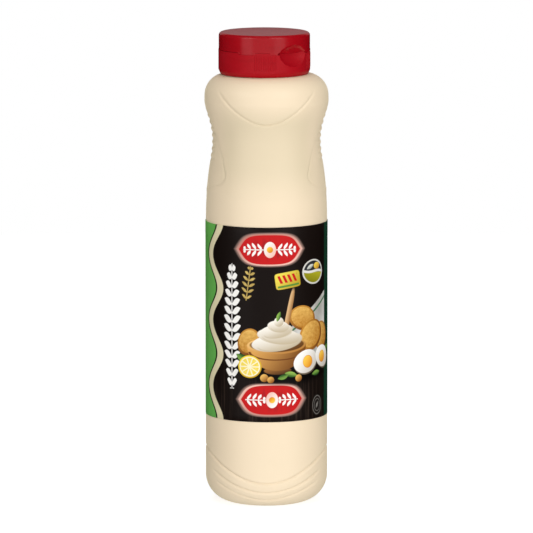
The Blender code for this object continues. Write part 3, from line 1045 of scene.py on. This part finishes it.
def cloth(ink):
    """Print the pale folded cloth behind the still life."""
    distance, frame_of = box(ink, (40.0, 111.5), (15.0, 23.0), -58.0, 6.0)
    x, y = ink.split(frame_of)
    folds = ((x * 3.2 + y * 5.0).math("SINE") * 0.5 + 0.5) * 0.55 + ink.noise((0.12, 0.12)) * 0.45
    shade = ink.mixed(folds, linear(150, 147, 140), linear(228, 226, 220))
    ink.lay(shade, ink.inside(distance, 1.0, 15.0) * (1.0 - deep_field))
    stripe = ink.inside(abs(x + 0.78), 0.04, 15.0) * ink.inside(distance, 0.97, 15.0)
    ink.lay(linear(60, 110, 72), stripe * (1.0 - deep_field))


def toast(ink, place, size, turn):
    """Print one toasted round: a brown crust and a mottled golden face."""
    ball(ink, place, size, linear(116, 62, 12), linear(200, 138, 52), turn)
    middle, face = (place[0], place[1] + 0.35), (size[0] * 0.86, size[1] * 0.84)
    spots = (toast_noise - 0.5) * 1.3
    ball(ink, middle, face, linear(182, 118, 32), linear(229, 182, 94), turn, (-0.3, 0.5), spots)


shadow = oval(ink, (14.0, 83.5), (34.0, 7.5))[0]
ink.lay(linear(9, 6, 5), film_bench.rise(1.1, 0.5, shadow))
toast_noise = ink.noise((0.42, 0.55), 4.0, 0.65)
cloth(ink)
toast(ink, (24.0, 117.5), (10.0, 7.6), -14.0)
toast(ink, (41.0, 105.0), (8.0, 9.0), 14.0)
toast(ink, (31.0, 106.5), (10.5, 9.0), 36.0)
toast(ink, (-11.0, 103.5), (7.0, 8.6), -24.0)

# %% Spoon, bowl and swirl
WOOD_DARK, WOOD_LIGHT = linear(158, 112, 62), linear(222, 180, 128)
SAUCE_DARK, SAUCE_LIGHT = linear(192, 176, 146), linear(246, 241, 231)
FRESH_GREEN, LEAF_GREEN = linear(44, 92, 30), linear(38, 84, 30)


def spoon(ink):
    """Print the wooden handle that stands in the bowl."""
    distance, frame_of = box(ink, (14.0, 121.5), (1.55, 14.5), -12.0, 3.0)
    grain = ink.slope(frame_of, (-0.9, 0.1))
    ink.lay(ink.mixed(grain, WOOD_DARK, WOOD_LIGHT), ink.inside(distance, 1.0, 1.55))


def bowl(ink):
    """Print the wooden bowl: the foot, the round wall and the lit rim."""
    ball(ink, (BOWL[0], BOWL[1] - 15.0), (8.5, 2.4), linear(74, 42, 12), linear(160, 104, 46))
    wall, wall_frame = oval(ink, BOWL, (19.0, 15.0))
    y = ink.split(wall_frame)[1]
    shade = ink.mixed(ink.slope(wall_frame, (-0.85, 0.5)), linear(122, 72, 20), linear(228, 168, 86))
    ink.lay(shade, ink.inside(wall, 1.0, 15.0) * ink.inside(y, 0.05, 15.0))
    stripe, stripe_frame = oval(ink, (BOWL[0], BOWL[1] - 3.4), (17.9, 5.0))
    front = ink.inside(ink.split(stripe_frame)[1], 0.0, 5.0) * ink.inside(wall, 0.99, 15.0)
    ink.lay(linear(112, 62, 18), ink.inside(abs(stripe - 1.0), 0.07, 5.0) * front)
    ball(ink, (BOWL[0], BOWL[1] + 0.4), (19.0, 5.2), linear(178, 118, 48), linear(244, 198, 122))
    ball(ink, (BOWL[0], BOWL[1] + 0.7), (17.4, 4.2), linear(96, 58, 20), linear(150, 104, 50))


def swirl(ink):
    """Print the sauce as turns that shrink and lean towards a peak."""
    turns = 5
    for i in range(turns):
        share = i / (turns - 1)
        place = (BOWL[0] + 0.9 * math.sin(2.2 * i), BOWL[1] + 2.6 + 12.4 * share ** 0.9)
        size = (16.2 - 13.2 * share ** 1.15, 5.6 - 2.7 * share)
        tilt = 7.0 * (-1.0) ** i
        ball(ink, place, size, SAUCE_DARK, SAUCE_LIGHT, tilt, (-0.35, 0.75))
        fold_size = (size[0] * 0.86, size[1] * 0.72)
        fold, fold_frame = oval(ink, (place[0] + 1.2, place[1] - 1.0), fold_size, tilt)
        low = ink.bench.rise(0.1, -0.6, ink.split(fold_frame)[1])
        ink.lay(SAUCE_DARK, ink.inside(abs(fold - 1.0), 0.05, size[1]) * low * 0.55)
    leaf(ink, (BOWL[0] + 0.4, BOWL[1] + 18.2), 6.5, 2.6, 72.0, FRESH_GREEN, linear(140, 182, 78))


spoon(ink)
bowl(ink)
swirl(ink)

# %% Eggs, lemon and leaves
def egg_half(ink, place, size, turn, yolk_shift):
    """Print half a boiled egg: white with a soft rim, and its yolk."""
    ball(ink, (place[0] + 0.4, place[1] - 0.9), size, linear(96, 82, 66), linear(150, 134, 112), turn)
    ball(ink, place, size, linear(206, 198, 186), linear(255, 253, 248), turn)
    yolk = (place[0] + yolk_shift, place[1] - 0.2)
    radius = 0.5 * min(size)
    ball(ink, yolk, (radius * 1.12, radius * 1.12), linear(196, 112, 16), linear(236, 166, 40), turn)
    ball(ink, yolk, (radius, radius), linear(232, 146, 26), linear(255, 208, 80), turn)


def lemon_slice(ink, place, radius):
    """Print a slice of lemon: rind, pith and ten segments."""
    ball(ink, place, (radius, radius * 0.94), linear(206, 160, 10), linear(250, 218, 48))
    distance, frame_of = oval(ink, place, (radius, radius * 0.94))
    ink.lay(linear(248, 240, 204), ink.inside(distance, 0.88, radius))
    x, y = ink.split(frame_of)
    segment = abs((y.math("ARCTAN2", x) * (10.0 / (2.0 * math.pi))).math("FRACT") - 0.5)
    flesh = ink.bench.rise(0.02, 0.1, (0.5 - segment) * distance - 0.02) * ink.inside(distance, 0.78, radius)
    flesh = flesh * ink.bench.rise(0.08, 0.16, distance)
    ink.lay(ink.mixed(ink.noise((0.7, 0.7)), linear(232, 196, 40), linear(250, 232, 120)), flesh)


leaf(ink, (-14.5, 93.0), 11.0, 4.6, 150.0, LEAF_GREEN, linear(128, 170, 72))
leaf(ink, (49.0, 95.5), 10.0, 4.2, 30.0, LEAF_GREEN, linear(120, 164, 66))
lemon_slice(ink, (-10.4, 88.4), 7.4)
egg_half(ink, (26.4, 90.6), (9.4, 7.0), 14.0, 1.2)
egg_half(ink, (42.6, 92.2), (8.2, 6.6), -22.0, -0.6)
leaf(ink, (15.4, 83.4), 8.6, 3.4, -12.0, FRESH_GREEN, linear(146, 186, 80))
leaf(ink, (10.2, 82.0), 7.0, 3.0, 196.0, LEAF_GREEN, linear(120, 164, 66))
leaf(ink, (35.0, 82.6), 7.6, 3.2, 8.0, LEAF_GREEN, linear(128, 172, 72))
CRUMBS = (
    ((-1.4, 81.6), (2.5, 2.4), linear(236, 184, 92)),
    ((2.6, 80.4), (2.1, 2.0), linear(230, 176, 84)),
    ((20.6, 80.8), (2.3, 2.2), linear(236, 184, 92)),
)
for place, size, light in CRUMBS:
    ball(ink, place, size, linear(132, 70, 12), light)
print("with its still life the print takes", len(film_bench.tree.nodes), "nodes")

# %% [markdown]
# ## The back of the sleeve
# The photograph doesn't show the back. Like most such sleeves it gets a pale
# panel with rows of plain bars where facts would stand, and a seam where the
# film's ends overlap.
# %% The back
BAR_PITCH = 3.2


def back_panel(ink, middle, low, high, half_width):
    """Print a pale panel with rows of plain bars that end unevenly."""
    centre, half = (middle, (low + high) / 2), (half_width, (high - low) / 2)
    distance, frame_of = box(ink, centre, half, 0.0, 14.0)
    x, y = ink.split(frame_of)
    ink.lay(CREAM_INK, ink.inside(distance, 1.0, half_width))
    rows = y * (half[1] / BAR_PITCH)
    ends = abs(x) + (rows.math("FLOOR") * 2.3).math("SINE") * 0.1
    bars = ink.inside(abs(rows.math("FRACT") - 0.5), 0.2, BAR_PITCH) * ink.inside(ends, 0.78, half_width)
    ink.lay(GREY_INK, bars * ink.inside(abs(y), 0.88, half[1]) * 0.8)


back_panel(ink, 82.0, 78.0, 152.0, 19.0)
back_panel(ink, -84.0, 78.0, 152.0, 19.0)
ink.lay(BLACK_INK, ink.inside(BACK_SEAM - abs(around_mm), 0.25, 1.0))
film_bench.feed(film_shader, "Base Color", ink.color)

# %% Sheen of the film
def noise_of(bench, place, scale, detail):
    """Take a noise from 0 to 1, with its scale in 1/m."""
    sockets = {"Vector": place, "Scale": scale, "Detail": detail}
    return bench.take("ShaderNodeTexNoise", None, sockets)


def add_bump(bench, shader, height, strength, distance):
    """Tilt the light over a height that is distance millimetres at 1."""
    sockets = {"Strength": strength, "Distance": distance * MM, "Height": height}
    bench.feed(shader, "Normal", bench.take("ShaderNodeBump", None, sockets))


def finish_film(bench, shader):
    """Vary the film's gloss a little and let it ripple faintly."""
    place = bench.take("ShaderNodeTexCoord", output="Object")
    ripple = noise_of(bench, place, 55.0, 3.0)
    bench.feed(shader, "Roughness", ripple * 0.14 + 0.35)
    add_bump(bench, shader, ripple, 0.12, 0.3)


finish_film(film_bench, film_shader)
sleeve.data.materials.append(film)
print("the whole film takes", len(film_bench.tree.nodes), "nodes")

# %% [markdown]
# ## Cream plastic
# Blow-moulded polyethylene is satin, never quite even: the wall's thickness
# changes a little, so the colour drifts, and the mould's sandblasted face
# leaves a fine grain. Round the waist the colour is darker at the front and
# the back: that is painted shade. Two seams at the sides show where the
# mould parts. A little light goes into such plastic and comes out beside its
# edges, and a faint warm sheen stands for it.
# %% Finish of the body
CREAM = linear(240, 220, 189)
WAIST_SHADE_CREAM = linear(226, 209, 177)
SHADED_CREAM = linear(214, 199, 164)
# Heights where the painted waist shade begins, is full, starts to end and ends
WAIST_SHADE_HEIGHTS = (184.0, 212.0, 234.0, 250.0)
SHEEN = {"Sheen Weight": 0.5, "Sheen Roughness": 0.4, "Sheen Tint": paint(linear(252, 240, 200))}


def finish_cream(bench, shader):
    """Give the body its drift of colour, its painted waist shade, its grain and its mould seams."""
    place = bench.take("ShaderNodeTexCoord", output="Object")
    x, y, z = bench.parts(place)
    plain = Print(bench, place, CREAM)
    begins, full, ending, ended = (height * MM for height in WAIST_SHADE_HEIGHTS)
    waist = bench.rise(begins, full, z) * bench.rise(ended, ending, z)
    turned = abs(abs(x.math("ARCTAN2", y)) - math.pi / 2) * math.degrees(1.0)
    # Painted shade: the waist is darkened at the front and the back, not at the sides.
    plain.lay(WAIST_SHADE_CREAM, waist * bench.rise(28.0, 52.0, turned))
    drift = noise_of(bench, place, 28.0, 4.0)
    plain.lay(SHADED_CREAM, bench.rise(0.5, 0.85, drift) * 0.22)
    seam = bench.rise(0.35 * MM, 0.1 * MM, abs(y)) * bench.rise(16.0 * MM, 20.0 * MM, z)
    plain.lay(SHADED_CREAM, seam * 0.35)
    bench.feed(shader, "Base Color", plain.color)
    grain = noise_of(bench, place, 900.0, 2.0)
    bench.feed(shader, "Roughness", grain * 0.1 + drift * 0.12 + 0.34)
    add_bump(bench, shader, grain * 0.35 + drift * 0.4 + seam, 0.18, 0.1)


finish_cream(cream_bench, cream_shader)
set_sockets(cream_shader, SHEEN)
print("the cream takes", len(cream_bench.tree.nodes), "nodes")

# %% [markdown]
# ## Red plastic
# The cap is injection-moulded polypropylene. Its lid is much glossier than the
# body, and its skirt is nearer to satin. The plastic's flow leaves faint
# streaks, and handling leaves a slight unevenness in the gloss.
# %% Finish of the cap
LID_RED = linear(162, 3, 18)
SKIRT_RED = linear(167, 3, 20)
FLOW_RED = linear(176, 9, 28)
DEEP_RED = linear(142, 2, 12)


def finish_red(bench, shader, ground, roughness):
    """Give a moulding its flow streaks, uneven gloss and faint ripple."""
    place = bench.take("ShaderNodeTexCoord", output="Object")
    sockets = {"Vector": place, "Scale": (60.0, 60.0, 260.0)}
    streaks = noise_of(bench, bench.take("ShaderNodeMapping", None, sockets), 1.0, 3.0)
    plain = Print(bench, place, ground)
    plain.lay(FLOW_RED, bench.rise(0.5, 0.8, streaks) * 0.5)
    plain.lay(DEEP_RED, bench.rise(0.45, 0.2, streaks) * 0.4)
    bench.feed(shader, "Base Color", plain.color)
    smudge = noise_of(bench, place, 70.0, 4.0)
    bench.feed(shader, "Roughness", smudge * 0.06 + roughness)
    add_bump(bench, shader, noise_of(bench, place, 420.0, 1.0), 0.025, 0.1)


finish_red(glossy_bench, glossy_shader, LID_RED, 0.19)
finish_red(satin_bench, satin_shader, SKIRT_RED, 0.38)
set_sockets(satin_shader, {"Specular IOR Level": 0.15})
print("each red takes", len(satin_bench.tree.nodes), "nodes")

# %% [markdown]
# ## Camera
# The photograph was taken through a long lens from a little above. The
# flattening of the cap's and the label's edges gives the camera's height and
# distance, and the bottle's height in the picture gives the lens.
# %% Set up the camera
CAMERA_DISTANCE, CAMERA_HEIGHT, AIM_HEIGHT = 3.5, 0.650, 0.1447
PICTURE_PIXELS, MM_PER_PIXEL = 533, 0.6122
SENSOR_WIDTH = 36.0

lens = bpy.data.cameras.new("camera")
camera = bpy.data.objects.new("camera", lens)
bpy.context.scene.collection.objects.link(camera)
bpy.context.scene.camera = camera
camera.location = (0.0, -CAMERA_DISTANCE, CAMERA_HEIGHT)
aim = Vector((0.0, 0.0, AIM_HEIGHT)) - camera.location
camera.rotation_mode = "QUATERNION"
camera.rotation_quaternion = aim.to_track_quat("-Z", "Y")
lens.sensor_width = SENSOR_WIDTH
lens.lens = SENSOR_WIDTH * aim.length / (PICTURE_PIXELS * MM_PER_PIXEL * MM)
lens.clip_end = 50.0
print("lens", round(lens.lens, 1), "mm")

# %% [markdown]
# ## Floor and light
# The bottle stands in a bright white studio, and the photograph shows hardly
# a shadow. Such pictures are lit from the front by one very wide soft source
# and dimly from everywhere else. A white floor would light the foot far more
# than that, so this one glows a little by itself, is seen by the camera, and
# takes no part in lighting the bottle. Reflections come from soft boxes of
# their own: two upright strips and a panel between them draw the sheens on the
# cap, two heads above light its upper edge, and a card behind greys its flat
# top.
# %% Floor
FLOOR_RADIUS, FLOOR_DROP, FLOOR_GLOW = 1.2, 0.05, 0.72

disc = bmesh.new()
bmesh.ops.create_circle(disc, cap_ends=True, radius=FLOOR_RADIUS, segments=96)
ground = keep_mesh("floor", disc)
ground.location.z = -FLOOR_DROP * MM
ground.visible_diffuse = False
ground.visible_glossy = False
ground.visible_shadow = False
pale, _, pale_shader = new_finish("pale floor", 0.9)
set_sockets(pale_shader, {"Base Color": paint((0.5, 0.5, 0.5)), "Specular IOR Level": 0.0})
set_sockets(pale_shader, {"Emission Color": paint((1.0, 1.0, 1.0)), "Emission Strength": FLOOR_GLOW})
ground.data.materials.append(pale)


# %% Lights
LIGHTS_AIM = Vector((0.0, 0.0, 0.15))
SUN_DISTANCE, BOX_DISTANCE = 3.0, 2.0


def aim_light(data, angle, elevation, distance):
    """Put a light at an angle from the front and turn it to the bottle."""
    light = bpy.data.objects.new(data.name, data)
    bpy.context.scene.collection.objects.link(light)
    flat, up = math.radians(angle), math.radians(elevation)
    away = Vector((math.sin(flat) * math.cos(up), -math.cos(flat) * math.cos(up), math.sin(up)))
    light.location = LIGHTS_AIM + away * distance
    light.rotation_mode = "QUATERNION"
    light.rotation_quaternion = (-away).to_track_quat("-Z", "Y")
    light.visible_camera = False
    return light


def wide_sun(name, angle, elevation, width, strength):
    """Light everything from one wide part of the sky, without a reflection."""
    data = bpy.data.lights.new(name, "SUN")
    data.angle = math.radians(width)
    data.energy = strength
    aim_light(data, angle, elevation, SUN_DISTANCE).visible_glossy = False


def soft_box(name, angle, elevation, width, height, power):
    """Hang a soft box that is only seen as a sheen on glossy plastic."""
    data = bpy.data.lights.new(name, "AREA")
    data.shape = "RECTANGLE"
    data.size, data.size_y = width, height
    data.energy = power
    aim_light(data, angle, elevation, BOX_DISTANCE).visible_diffuse = False


wide_sun("front sky", 12.0, 7.0, 100.0, 2.08)
wide_sun("overhead sky", 0.0, 88.0, 60.0, 1.05)
wide_sun("table glow", 0.0, -80.0, 120.0, 1.0)
soft_box("left strip", -44.0, 6.0, 1.0, 2.6, 5.6)
soft_box("right strip", 39.0, 6.0, 1.05, 2.6, 5.2)
soft_box("middle panel", -4.0, 6.0, 1.9, 2.6, 3.4)
soft_box("left head", -45.0, 34.0, 1.0, 0.5, 3.0)
soft_box("right head", 36.0, 34.0, 1.0, 0.5, 3.0)
soft_box("back card", 180.0, 23.0, 2.6, 1.1, 2.5)
print("lights", [light.name for light in bpy.data.lights])

# %% Sky
SKY_GLOW = 0.35

studio = bpy.data.worlds.new("studio")
bpy.context.scene.world = studio
studio.use_nodes = True
sky_bench = Bench(studio.node_tree)
seen = sky_bench.take("ShaderNodeLightPath", output="Is Camera Ray")
backdrop = studio.node_tree.nodes["Background"]
set_sockets(backdrop, {"Color": paint((1.0, 1.0, 1.0))})
sky_bench.feed(backdrop, "Strength", seen * (1.0 - SKY_GLOW) + SKY_GLOW)
studio.cycles_visibility.glossy = False
bpy.context.scene.view_settings.view_transform = "Standard"
